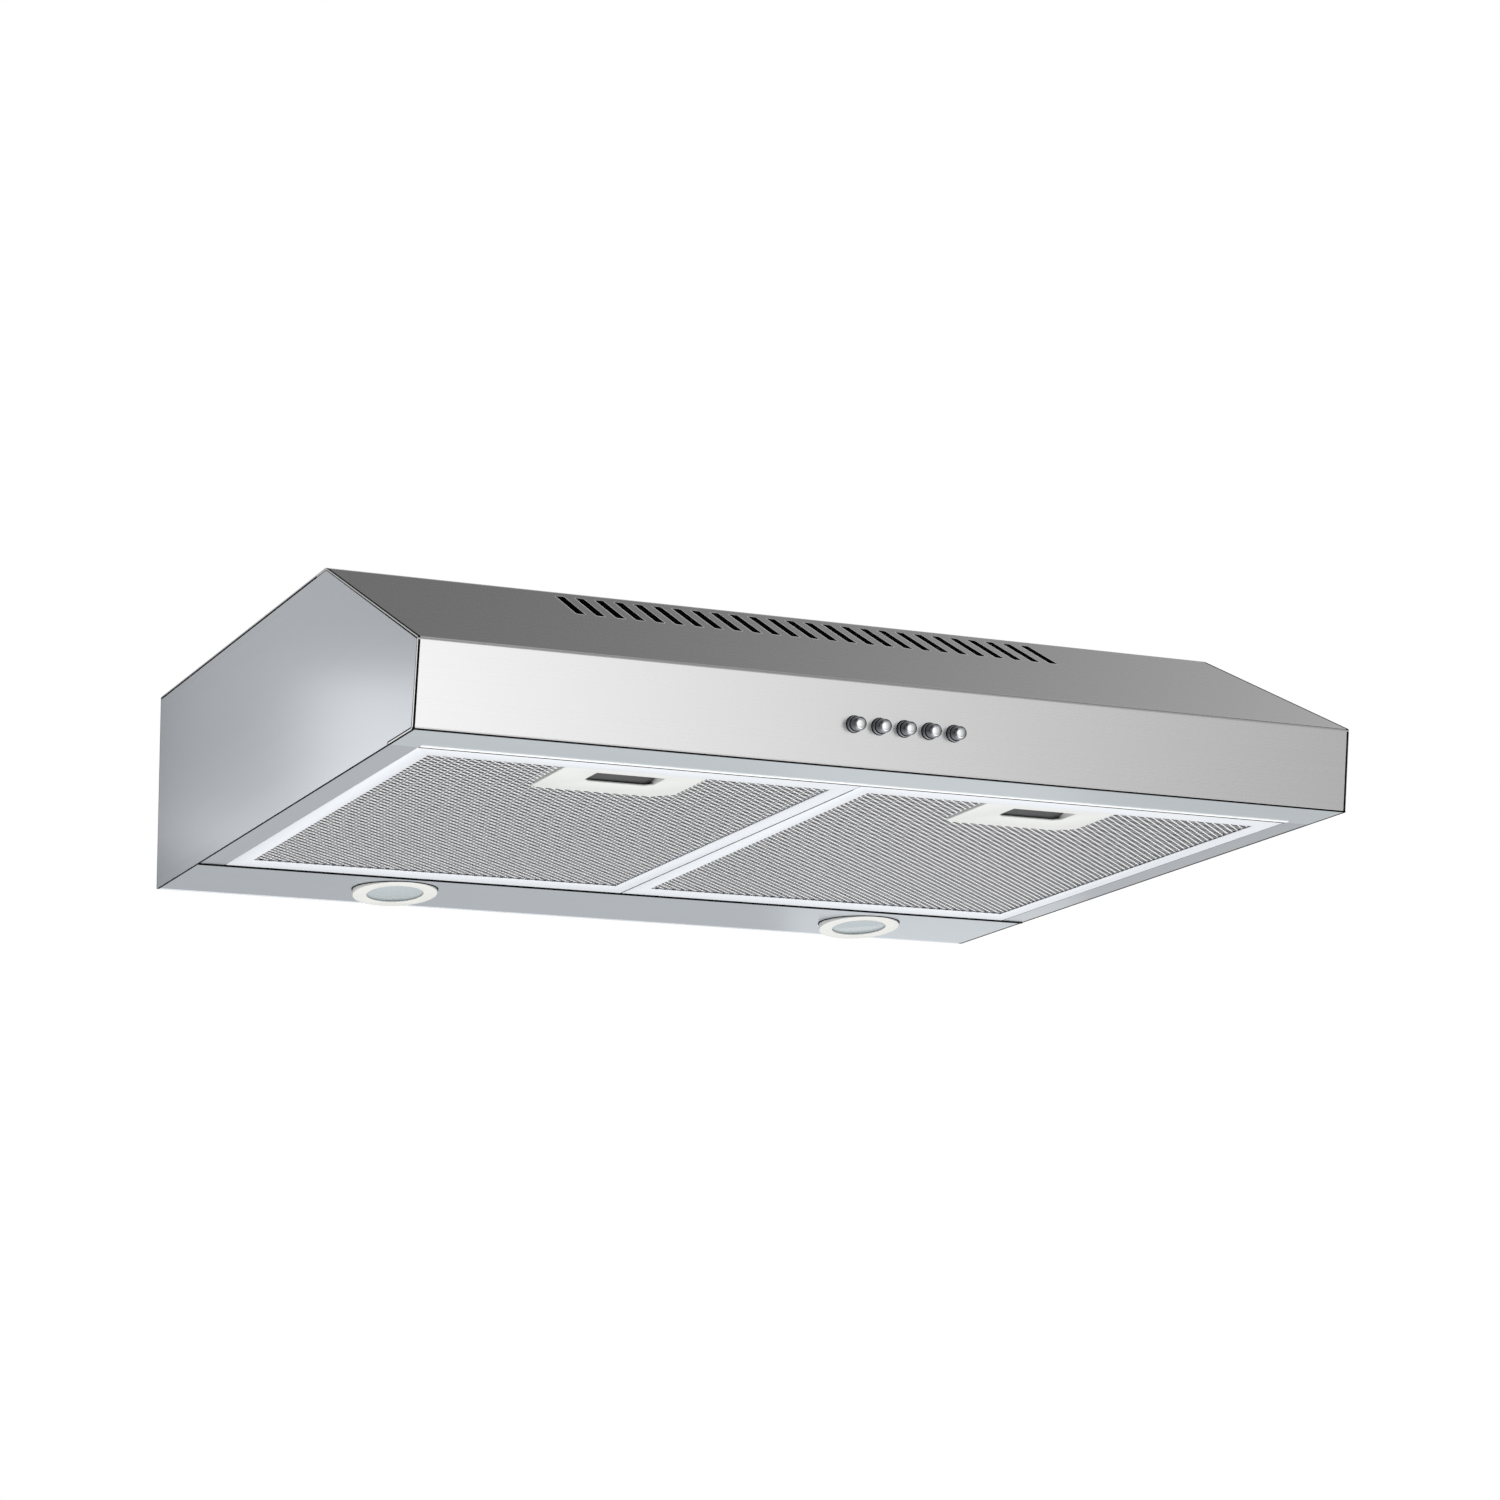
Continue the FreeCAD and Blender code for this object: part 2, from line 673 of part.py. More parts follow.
def switch_parts():
    """Switch block behind the fascia, and the bracket plate that holds it."""
    reach = d.button_pitch * 2 + 12
    shift = d.button_shift
    housing = block((shift - reach, -11, -32), (shift + reach, 11, -9))
    wells = [drum((button_x(i), 0, -26.5), d.stem_radius + 0.5, 20) for i in range(len(BUTTONS))]
    name_node("switch_housing", on_fascia(cut(housing, *wells)))
    ear = 14
    plate = block((shift - reach - ear, -13, -8.8), (shift + reach + ear, 13, -7.6))
    feet = [
        block((shift + side * (reach + ear / 2) - 4, -9, -7.7), (shift + side * (reach + ear / 2) + 4, 9, -0.9))
        for side in (-1, 1)
    ]
    clearance = [drum((button_x(i), 0, -10), d.button_radius + 0.5, 5) for i in range(len(BUTTONS))]
    name_node("switch_bracket", on_fascia(cut(fuse(plate, *feet), *clearance)))


# ---------------------------------------------------------------- lamps

def lamp(name):
    """Wedge-shaped bezel that aims the lamp forward, a round lens, an LED board and two clips."""
    across, along = LAMPS[name]
    radius = d.bezel_radius
    drop = Size(math.sin(math.radians(d.lamp_tilt.value)), "sin(dims.lamp_tilt * 1 deg)") * radius
    face_z = floor - d.bezel_front - drop
    big = d.bezel_radius * 2

    def tilted(thing, lift):
        """Turn a disc so that it faces down and forward; lift is its distance above the bezel's face."""
        tool = place(thing, (across, along, face_z), X, -d.lamp_tilt)
        bind(tool, "Placement.Base.z", face_z + lift)
        return tool

    def disc(disc_radius, thick):
        thing = doc.addObject("Part::Cylinder", "disc")
        bind(thing, "Radius", disc_radius)
        bind(thing, "Height", thick)
        return thing

    wedge = common(drum((across, along, floor - 14), radius, 14), tilted(disc(big, 30), 0))
    neck = drum((across, along, floor - 0.1), d.lamp_neck, 8.1)
    opening = tilted(disc(d.lens_opening, 10), -0.5)
    bore = tilted(disc(d.lens_radius + 0.2, 40), d.lens_recess - 0.05)
    name_node(f"{name}_lamp_bezel", cut(fuse(wedge, neck), opening, bore))
    name_node(f"{name}_lamp_lens", tilted(disc(d.lens_radius, d.lens_thick), d.lens_recess))
    name_node(f"{name}_lamp_board", drum((across, along, floor + 5.6), d.lens_opening - 2.4, 1.6))


def lamp_clips():
    """Spring clips that hold each bezel's neck against the inside of the lamp panel."""
    clips = []
    for across, along in LAMPS.values():
        for side in (-1, 1):
            inner, outer = across + side * (d.lamp_neck + 0.1), across + side * (d.lamp_neck + 9)
            span = sorted((inner, outer), key=lambda s: s.value)
            clips.append(block((span[0], along - 4, floor + d.sheet), (span[1], along + 4, floor + 4.5)))
    name_node("lamp_clips", group(*clips))


# ---------------------------------------------------------------- blower

def tub_outline(sketch, inset, top):
    """Straight sides over a half-round bottom, the section of the blower housing."""
    radius = d.tub_radius - inset
    middle = V(d.blower_y.value, d.blower_z.value, 0)
    side, up = V(radius.value, 0, 0), V(0, size(top).value - d.blower_z.value, 0)
    arc = Part.ArcOfCircle(Part.Circle(middle, Z, radius.value), math.pi, 2 * math.pi)
    sketch.addGeometry(arc, False)
    corners = [middle + side, middle + side + up, middle - side + up, middle - side]
    for start, end in zip(corners, corners[1:]):
        sketch.addGeometry(Part.LineSegment(start, end), False)
    constrain(sketch, "Tangent", 0, 2, 1, 1)
    constrain(sketch, "Coincident", 1, 2, 2, 1)
    constrain(sketch, "Coincident", 2, 2, 3, 1)
    constrain(sketch, "Tangent", 3, 2, 0, 1)
    constrain(sketch, "Vertical", 1)
    constrain(sketch, "Horizontal", 2)
    constrain(sketch, "Radius", 0, number=radius)
    constrain(sketch, "DistanceX", -1, 1, 0, 3, number=d.blower_y)
    constrain(sketch, "DistanceY", -1, 1, 0, 3, number=d.blower_z)
    constrain(sketch, "DistanceY", -1, 1, 2, 1, number=top)
    return sketch


def blower_housing():
    """Two plastic half shells that meet over the motor, open at the top, with round air inlets."""
    top = -d.sheet - d.collar_flange - 0.1
    for name, side in (("left", -1), ("right", 1)):
        body = new_body(f"blower_housing_{name}")
        pad(body, tub_outline(new_sketch(body, "YZ_Plane"), 0, top), d.tub_half, reverse=side < 0)
        inner = tub_outline(new_sketch(body, "YZ_Plane"), d.tub_wall, top + 1)
        pocket(body, inner, d.tub_half - d.tub_wall, reverse=side > 0)
        inlet = add_circle(new_sketch(body, "YZ_Plane"), d.wheel_y, d.wheel_z, d.inlet_radius)
        pocket(body, inlet, d.tub_half + 1, reverse=side > 0)
        lugs = new_sketch(body, "YZ_Plane")
        front, rear = d.blower_y - d.tub_radius, d.blower_y + d.tub_radius
        add_rectangle(lugs, (front - 9, -34), (front + 0.5, -22))
        add_rectangle(lugs, (rear - 0.5, -34), (rear + 9, -22))
        pad(body, lugs, 5, reverse=side < 0)


def wheel(name, side):
    """Squirrel-cage wheel: hub disc, ring of blades and end ring."""
    body = new_body(f"impeller_{name}")
    start = side * (d.motor_half + 4)
    plate = 1.2
    hub = add_circle(new_sketch(body, "YZ_Plane", start), 0, 0, d.wheel_radius)
    add_circle(hub, 0, 0, d.shaft_radius)
    pad(body, hub, plate, reverse=side < 0)
    rim = add_circle(new_sketch(body, "YZ_Plane", start + side * (d.wheel_length - plate)), 0, 0, d.wheel_radius)
    add_circle(rim, 0, 0, d.wheel_radius - 7)
    blades = new_sketch(body, "YZ_Plane", start)
    root, tip = d.wheel_radius - 6.5, d.wheel_radius - 0.6
    add_outline(blades, [(root, -0.4), (tip, 2.2), (tip, 3.0), (root, 0.4)])
    blade = pad(body, blades, d.wheel_length, reverse=side < 0)
    ring = body.newObject("PartDesign::PolarPattern", "ring_of_blades")
    ring.Originals = [blade]
    ring.Axis = (blades, ["N_Axis"])
    ring.Angle = 360
    bind(ring, "Occurrences", d.blade_count)
    body.Tip = ring
    doc.recompute()
    pad(body, rim, plate + 0.3, reverse=side < 0)
    place(body, (0, d.wheel_y, d.wheel_z))


def motor_parts():
    """Motor between the wheels, its through shaft, clamp and capacitor."""
    y, z = d.wheel_y, d.wheel_z
    end = d.motor_half
    case = drum((-end, y, z), d.motor_radius, end * 2, "x")
    bore = drum((-end - 1, y, z), d.shaft_radius + 0.05, end * 2 + 2, "x")
    name_node("motor", cut(case, bore))
    reach = d.motor_half + 4 + d.wheel_length
    name_node("motor_shaft", drum((-reach, y, z), d.shaft_radius, reach * 2, "x"))
    inner = d.tub_radius - d.tub_wall - 0.2
    arms = block((-6, d.blower_y - inner, d.blower_z - 4), (6, d.blower_y + inner, d.blower_z + 4))
    clamp = fuse(drum((-6, y, z), d.motor_radius + 3, 12, "x"), arms)
    name_node("motor_clamp", cut(clamp, drum((-7, y, z), d.motor_radius, 14, "x")))
    name_node("motor_capacitor", fuse(drum((92, -58, -17), 14, 45, "x"), block((108, -64, -17), (120, -52, -d.sheet))))


def inlet_guards():
    """Wire-like guard over each blower inlet."""
    for name, side in (("left", -1), ("right", 1)):
        near = d.tub_half if side > 0 else -d.tub_half - 2
        y, z = d.wheel_y, d.wheel_z
        rings = [
            tube((near, y, z), outer, outer - width, 2, "x")
            for outer, width in ((d.inlet_radius + 4, 4), (size(25), 2), (size(13), 2))
        ]
        reach = d.inlet_radius + 1
        bars = [
            block((near, y - reach, z - 1), (near + 2, y + reach, z + 1)),
            block((near, y - 1, z - reach), (near + 2, y + 1, z + reach)),
        ]
        name_node(f"inlet_guard_{name}", fuse(*rings, *bars))


# ---------------------------------------------------------------- exhaust collar

def duct_collar():
    """Round spigot on a flat flange that closes the hole in the roof from below, with a seat for the flaps."""
    y = d.blower_y
    under = -d.sheet - d.collar_flange
    bore = d.spigot_radius - d.spigot_wall
    across, along = d.roof_hole_x + d.collar_rim, d.roof_hole_y + d.collar_rim
    flange = block((-across, y - along, under), (across, y + along, -d.sheet))
    spigot = drum((0, y, -d.sheet), d.spigot_radius, d.spigot_height + d.sheet)
    hollow = drum((0, y, under - 1), bore, d.spigot_height + 10)
    seat = tube((0, y, 1.6), bore + 0.2, bore - 3.2, 1.2)
    bar = block((-bore, y - 2.6, 0), (bore, y + 2.6, 1.2))
    pins = [
        drum((-d.spigot_radius - 1, y + side * d.flap_pin_y, d.flap_pin_z), d.flap_pin_radius,
             (d.spigot_radius + 1) * 2, "x")
        for side in (-1, 1)
    ]
    name_node("duct_collar", cut(fuse(cut(fuse(flange, spigot), hollow), seat, bar), *pins))


def damper_pins():
    """Two pins that carry the flaps, ending flush with the spigot."""
    reach = d.spigot_radius - 0.4
    pins = [
        drum((-reach, d.blower_y + side * d.flap_pin_y, d.flap_pin_z), d.flap_pin_radius, reach * 2, "x")
        for side in (-1, 1)
    ]
    name_node("damper_pins", group(*pins))


def damper_flap(name, side):
    """Half-round flap with a knuckle along its pin."""
    y = d.blower_y + side * d.flap_pin_y
    z = d.flap_pin_z
    reach = d.spigot_radius - d.spigot_wall - 1.2
    disc = drum((0, d.blower_y, z - d.flap_thick / 2), reach, d.flap_thick)
    far = d.spigot_radius * 2
    half_plane = sorted((y, y + side * far), key=lambda s: s.value)
    leaf = common(disc, block((-far, half_plane[0], z - 3), (far, half_plane[1], z + 3)))
    knuckle = drum((5 - reach, y, z), d.flap_pin_radius + 0.8, reach * 2 - 10, "x")
    pin_hole = drum((-reach - 5, y, z), d.flap_pin_radius + 0.05, reach * 2 + 10, "x")
    name_node(f"{name}_damper_flap", cut(fuse(leaf, knuckle), pin_hole))


# ---------------------------------------------------------------- wiring and fasteners

def wiring():
    """Steel connection box under the roof, its cover, terminals, cable gland and lamp driver."""
    x, y = d.inlet_x, d.inlet_y
    low, high = (x - 42, y - 40, -60), (x + 40, y + 40, -d.sheet)
    gauge = 1
    shell = cut(
        block(low, high),
        block((low[0] + gauge, low[1] + gauge, low[2] - 1), (high[0] - gauge, high[1] - gauge, high[2] - gauge)),
        drum((x, y, -5), d.gland_radius + 0.1, 10),
    )
    name_node("wiring_box", shell)
    name_node("wiring_box_cover", block((low[0], low[1], -61), (high[0], high[1], -60)))
    flange_top = -d.sheet - gauge
    gland = fuse(drum((x, y, -d.gland_length), d.gland_radius, d.gland_length),
                 drum((x, y, flange_top - 3), d.gland_radius + 3, 3))
    name_node("cable_gland", cut(gland, drum((x, y, -20), d.cable_radius, 30)))
    posts = [drum((x - 20 + step * 10, y + 4, -50), 3, 4) for step in range(5)]
    name_node("terminal_block", cut(block((x - 28, y - 8, -60), (x + 28, y + 16, -46)), *posts))
    name_node("lamp_driver", block((-226, -90, -24), (-160, -54, -d.sheet)))


def screw_group(label, spots, shank_radius, head_radius, head, length, along="z"):
    """Screws that share a node; each starts under its head and runs along +Z or +X."""
    screws = []
    for spot in spots:
        step = V(1, 0, 0) if along == "x" else V(0, 0, 1)
        under = [size(spot[k]) + step[k] * (head - 0.05) for k in range(3)]
        screws.append(fuse(drum(spot, head_radius, head, along), drum(under, shank_radius, length, along)))
    name_node(label, group(*screws))


def fasteners():
    under = -d.sheet - d.collar_flange
    across, along = d.roof_hole_x + d.collar_rim / 2, d.roof_hole_y + d.collar_rim / 2
    corners = [(a * across, d.blower_y + b * along, under - 2.4) for a in (-1, 1) for b in (-1, 1)]
    screw_group("collar_screws", corners, 1.6, 3.2, 2.4, 2.2)
    lugs = [(-7.4, d.blower_y + side * (d.tub_radius + 5), -28) for side in (-1, 1)]
    screw_group("housing_screws", lugs, 1.6, 3.2, 2.4, 9, "x")
    cover = [(d.inlet_x - 36, d.inlet_y, -63.2), (d.inlet_x + 34, d.inlet_y, -63.2)]
    screw_group("cover_screws", cover, 1.4, 2.8, 2.2, 1.1)


# ---------------------------------------------------------------- build, check, write

front_canopy()
side_panels()
top_plate()
back_panel()
lamp_panel()
centre_rail()
filters()
for index, label in enumerate(BUTTONS):
    push_button(label, index)
button_ferrules()
switch_parts()
for lamp_name in LAMPS:
    lamp(lamp_name)
lamp_clips()
blower_housing()
wheel("left", -1)
wheel("right", 1)
motor_parts()
inlet_guards()
duct_collar()
damper_pins()
damper_flap("front", -1)
damper_flap("rear", 1)
wiring()
fasteners()
doc.recompute()

failed = [o.Name for o in doc.Objects if {"Invalid", "Error"} & set(o.State)]
if failed:
    raise RuntimeError(f"failed objects: {failed}")
for label, thing in finished.items():
    if thing.Shape.isNull() or not thing.Shape.isValid() or not thing.Shape.Solids:
        raise RuntimeError(f"{label} has no valid solid")

os.makedirs("parts", exist_ok=True)
for label, thing in finished.items():
    thing.Shape.exportStep(f"parts/{label}.step")
print(f"{len(finished)} nodes written")
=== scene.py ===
"""Looks of the under-cabinet range hood: steel, aluminium mesh filters, lamps, buttons, studio."""

import math

import bmesh
import bpy
import numpy as np
from mathutils import Matrix, Vector

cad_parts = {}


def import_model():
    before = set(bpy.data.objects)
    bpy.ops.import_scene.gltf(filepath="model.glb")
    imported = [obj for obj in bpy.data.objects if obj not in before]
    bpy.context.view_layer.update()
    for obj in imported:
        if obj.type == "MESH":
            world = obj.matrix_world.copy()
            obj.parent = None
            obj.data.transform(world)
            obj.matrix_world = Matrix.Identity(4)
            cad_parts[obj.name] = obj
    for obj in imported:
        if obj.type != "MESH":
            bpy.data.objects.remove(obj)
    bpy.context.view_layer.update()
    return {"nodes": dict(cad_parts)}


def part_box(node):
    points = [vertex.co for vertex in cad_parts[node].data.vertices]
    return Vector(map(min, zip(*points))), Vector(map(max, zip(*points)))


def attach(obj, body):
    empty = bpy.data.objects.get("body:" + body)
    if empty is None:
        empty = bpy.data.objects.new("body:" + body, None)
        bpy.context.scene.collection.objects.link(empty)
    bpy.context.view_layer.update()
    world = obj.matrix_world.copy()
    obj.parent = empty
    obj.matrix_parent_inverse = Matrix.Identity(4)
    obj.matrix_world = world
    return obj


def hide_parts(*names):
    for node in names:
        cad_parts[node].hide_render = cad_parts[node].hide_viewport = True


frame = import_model()
nodes = frame["nodes"]

MM = 0.001
HOOD = "hood"
SIDES = ("left", "right")
BUTTONS = ("lamp_button", "stop_button", "low_speed_button", "medium_speed_button", "high_speed_button")

# Levels worked out from the frame and from the fascia's two sizes
canopy_low, canopy_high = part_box("front_canopy")
FLOOR_Z = canopy_low.z                      # underside of the hood
HOOD_FRONT = canopy_low.y - 0.22 * MM       # crease between visor and fascia, before its bend
TOP_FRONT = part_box("top_plate")[0].y        # front edge of the roof
FASCIA_RISE = 50 * MM                       # height of the fascia from its toe to the crease
TOE_SETBACK = 8.3 * MM                      # how far its toe stands behind the crease
CREASE_Z = FLOOR_Z + FASCIA_RISE


# ---------------------------------------------------------------- materials

def new_material(name):
    mat = bpy.data.materials.new(name)
    mat.use_nodes = True
    return mat, mat.node_tree.nodes, mat.node_tree.links, mat.node_tree.nodes["Principled BSDF"]


def noise(tree_nodes, links, grain, detail=4.0, roughness=0.55):
    """Noise in object space, stretched by a scale along each axis (cells per metre)."""
    coord = tree_nodes.new("ShaderNodeTexCoord")
    mapping = tree_nodes.new("ShaderNodeMapping")
    mapping.inputs["Scale"].default_value = grain
    texture = tree_nodes.new("ShaderNodeTexNoise")
    texture.inputs["Scale"].default_value = 1.0
    texture.inputs["Detail"].default_value = detail
    texture.inputs["Roughness"].default_value = roughness
    links.new(coord.outputs["Object"], mapping.inputs["Vector"])
    links.new(mapping.outputs["Vector"], texture.inputs["Vector"])
    return texture.outputs["Fac"]


def spread(tree_nodes, links, factor, low, high):
    """Map a noise's middle range to low..high."""
    remap = tree_nodes.new("ShaderNodeMapRange")
    remap.inputs["From Min"].default_value = 0.3
    remap.inputs["From Max"].default_value = 0.7
    remap.inputs["To Min"].default_value = low
    remap.inputs["To Max"].default_value = high
    links.new(factor, remap.inputs["Value"])
    return remap.outputs["Result"]


def shade(tree_nodes, links, factor, dark, light):
    """A colour that runs from dark to light with a factor."""
    ramp = tree_nodes.new("ShaderNodeValToRGB")
    ramp.color_ramp.elements[0].position = 0.3
    ramp.color_ramp.elements[0].color = (*dark, 1)
    ramp.color_ramp.elements[1].position = 0.7
    ramp.color_ramp.elements[1].color = (*light, 1)
    links.new(factor, ramp.inputs["Fac"])
    return ramp.outputs["Color"]


def surface(name, colour, metallic=0.0, roughness=0.5, grain=(80, 80, 80), tint=0.05,
            rough_spread=0.05, bump=0.0, bump_grain=None, coat=0.0, specular=0.5):
    """Principled material whose colour, roughness and relief vary with noise."""
    mat, tree_nodes, links, bsdf = new_material(name)
    fine = noise(tree_nodes, links, grain)
    dark = [channel * (1 - tint) for channel in colour]
    light = [min(channel * (1 + tint), 1) for channel in colour]
    links.new(shade(tree_nodes, links, fine, dark, light), bsdf.inputs["Base Color"])
    rough = spread(tree_nodes, links, fine, roughness - rough_spread, roughness + rough_spread)
    links.new(rough, bsdf.inputs["Roughness"])
    bsdf.inputs["Metallic"].default_value = metallic
    bsdf.inputs["Specular IOR Level"].default_value = specular
    bsdf.inputs["Coat Weight"].default_value = coat
    if bump:
        relief = tree_nodes.new("ShaderNodeBump")
        relief.inputs["Distance"].default_value = bump
        relief.inputs["Strength"].default_value = 1.0
        links.new(noise(tree_nodes, links, bump_grain or grain, detail=6.0), relief.inputs["Height"])
        links.new(relief.outputs["Normal"], bsdf.inputs["Normal"])
    return mat


BRUSH_X = (3, 900, 900)                     # brushing that runs from side to side
BRUSH_Y = (900, 3, 900)                     # brushing that runs from front to back

steel_front = surface("steel_front", (0.72, 0.72, 0.72), 1, 0.27, BRUSH_X, 0.008, 0.008, 6e-8)
steel_side = surface("steel_side", (0.665, 0.70, 0.74), 1, 0.30, BRUSH_Y, 0.01, 0.015, 2e-7)
steel_under = surface("steel_under", (0.655, 0.705, 0.755), 1, 0.30, BRUSH_X, 0.01, 0.015, 2e-7)
# lighter, bluer copy of the hood's steel: painted light on the lip's underside
lip_painted_light_steel = surface("lip_painted_light_steel", (0.79, 0.855, 0.89), 1, 0.30, BRUSH_X, 0.01, 0.015, 2e-7)
# near white and hardly metallic: painted highlight for the vent rims and the lip's hem
rim_painted_highlight = surface("rim_painted_highlight", (0.95, 0.955, 0.95), 0.1, 0.40, (600, 600, 600), 0.04, 0.05)
galvanised = surface("galvanised", (0.56, 0.58, 0.60), 1, 0.42, (60, 60, 60), 0.18, 0.12)
border_aluminium = surface("border_aluminium", (0.73, 0.755, 0.79), 0.25, 0.45, (700, 700, 700),
                           0.03, 0.06, 3e-6)
strand_aluminium = surface("strand_aluminium", (0.93, 0.935, 0.96), 0.3, 0.35, (500, 500, 500),
                           0.06, 0.1, 4e-6)
# filter core painted near black as the shade seen through the strands
filter_core_shade = surface("filter_core_shade", (0.03, 0.029, 0.032), 0.3, 0.65, (350, 350, 350), 0.5, 0.1, 1e-4)
cream_plastic = surface("cream_plastic", (0.66, 0.67, 0.65), 0, 0.5, (900, 900, 900), 0.025, 0.05, 1e-5)
bezel_plastic = surface("bezel_plastic", (0.66, 0.66, 0.635), 0, 0.38, (700, 700, 700), 0.02, 0.05, 6e-6)
# lit copy of the chrome, brighter than plain chrome, for the button faces
chrome = surface("chrome", (0.80, 0.81, 0.83), 1, 0.12, (300, 300, 300), 0.03, 0.03)
# shaded copy of the chrome: its darkness is the painted shade of the reflections on the cap walls and
# ferrules
chrome_painted_shade = surface("chrome_painted_shade", (0.20, 0.205, 0.225), 1, 0.16, (300, 300, 300), 0.1, 0.04)
blower_plastic = surface("blower_plastic", (0.035, 0.036, 0.039), 0, 0.45, (600, 600, 600), 0.2, 0.08, 2e-5)
# real black plastic for the switch, capacitor and wiring parts; on the latch sliders it is painted shade
black_plastic = surface("black_plastic", (0.02, 0.02, 0.022), 0, 0.4, (800, 800, 800), 0.25, 0.08, 2e-5)
motor_steel = surface("motor_steel", (0.45, 0.46, 0.48), 1, 0.38, (40, 900, 900), 0.12, 0.1)
screw_steel = surface("screw_steel", (0.62, 0.62, 0.63), 1, 0.28, (500, 500, 500), 0.1, 0.08)
board_aluminium = surface("board_aluminium", (0.85, 0.86, 0.84), 0.6, 0.4, (300, 300, 300), 0.05, 0.05)
# near-black and hardly shiny: painted shade, set in gaps, vent edges, round the lamps and at the button feet
# where only shadow falls
painted_shade_black = surface("painted_shade_black", (0.004, 0.004, 0.005), 0, 0.8, (300, 300, 300), 0.3, 0.05, specular=0.05)


def lens_material():
    """Frosted glass: pale, slightly blue, with a fine frost in its relief."""
    mat = surface("frosted_glass", (0.42, 0.485, 0.51), 0, 0.24, (1500, 1500, 1500),
                  0.03, 0.06, 3e-6, coat=0.6)
    bsdf = mat.node_tree.nodes["Principled BSDF"]
    bsdf.inputs["Transmission Weight"].default_value = 0.15
    bsdf.inputs["Coat Roughness"].default_value = 0.08
    return mat


frosted_glass = lens_material()

NODE_MATERIALS = {
    steel_front: ["front_canopy", "top_plate", "back_panel"],
    steel_side: ["left_side_panel", "right_side_panel"],
    steel_under: ["lamp_panel"],
    galvanised: ["centre_rail", "switch_bracket", "wiring_box", "wiring_box_cover", "motor_clamp",
                 "duct_collar", "damper_pins"],
    blower_plastic: ["blower_housing_left", "blower_housing_right", "inlet_guard_left", "inlet_guard_right",
                     "impeller_left", "impeller_right", "front_damper_flap", "rear_damper_flap"],
    black_plastic: ["switch_housing", "motor_capacitor", "cable_gland", "terminal_block", "lamp_driver"],
    motor_steel: ["motor"],
    screw_steel: ["motor_shaft", "collar_screws", "housing_screws", "cover_screws", "lamp_clips"],
    filter_core_shade: ["left_filter_core", "right_filter_core"],
    board_aluminium: ["left_lamp_board", "right_lamp_board"],
}


def paint(obj, mat):
    obj.data.materials.clear()
    obj.data.materials.append(mat)


def paint_cad_nodes():
    for mat, names in NODE_MATERIALS.items():
        for name in names:
            paint(nodes[name], mat)


# ---------------------------------------------------------------- mesh helpers

def add_piece(name, mesh, mat, body, replaced=(), smooth=30):
    """Link a mesh as one piece of the hood; faces that meet below the smooth angle shade as one."""
    obj = bpy.data.objects.new(name, mesh)
    bpy.context.scene.collection.objects.link(obj)
    paint(obj, mat)
    mesh.polygons.foreach_set("use_smooth", [True] * len(mesh.polygons))
    mesh.set_sharp_from_angle(angle=math.radians(smooth))
    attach(obj, body)
    if replaced:
        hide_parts(*replaced)
    return obj


def mesh_from(name, verts, faces):
    mesh = bpy.data.meshes.new(name)
    mesh.from_pydata([tuple(v) for v in verts], [], [tuple(f) for f in faces])
    mesh.update()
    return mesh


def softened(node, mat, body, width, segments=2):
    """A CAD node's own shape with its sharp edges rounded."""
    work = bmesh.new()
    work.from_mesh(nodes[node].data)
    bmesh.ops.remove_doubles(work, verts=work.verts, dist=1e-6)
    bmesh.ops.dissolve_limit(work, angle_limit=math.radians(1), verts=work.verts, edges=work.edges)
    edges = [e for e in work.edges if len(e.link_faces) == 2 and e.calc_face_angle() > math.radians(30)]
    bmesh.ops.bevel(work, geom=edges, offset=width, segments=segments, profile=0.5, affect="EDGES",
                    clamp_overlap=True)
    bmesh.ops.recalc_face_normals(work, faces=work.faces)
    mesh = bpy.data.meshes.new(f"{node}_soft")
    work.to_mesh(mesh)
    work.free()
    return add_piece(f"{node}_finish", mesh, mat, body, [node], 40)


def lathe(profile, steps=64):
    """Vertices and faces of a closed profile of (radius, height) points turned about Z."""
    verts, faces = [], []
    rings = []
    for radius, height in profile:
        if radius < 1e-9:
            rings.append([len(verts)] * steps)
            verts.append(Vector((0, 0, height)))
            continue
        rings.append(list(range(len(verts), len(verts) + steps)))
        for k in range(steps):
            turn = 2 * math.pi * k / steps
            verts.append(Vector((radius * math.cos(turn), radius * math.sin(turn), height)))
    for low, high in zip(rings, rings[1:]):
        for k in range(steps):
            loop = [low[k], low[(k + 1) % steps], high[(k + 1) % steps], high[k]]
            corners = list(dict.fromkeys(loop))
            if len(corners) > 2:
                faces.append(corners)
    return verts, faces


def rounded(radius_in, radius_out, low, high, fillet, steps=4):
    """Closed (radius, height) profile of a ring whose outer top edge is rounded."""
    points = [(radius_in, low), (radius_out, low)]
    for k in range(steps + 1):
        turn = math.pi / 2 * k / steps
        points.append((radius_out - fillet * (1 - math.cos(turn)), high - fillet * (1 - math.sin(turn))))
    points += [(radius_in, high), (radius_in, low)]
    return points


# ---------------------------------------------------------------- filters

STRAND_PITCH_X = 6.06 * MM
STRAND_PITCH_Y = 5.71 * MM
PLATE_CORNER = 8 * MM                       # the strands run in behind the cut corners of the latch plate


def filter_spans(name):
    """Lowest and highest corners of a filter's mesh and of its latch plate, at rest."""
    low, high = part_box(f"{name}_filter_front_mesh")
    plate_low, plate_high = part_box(f"{name}_latch_plate")
    return low, high, plate_low, plate_high


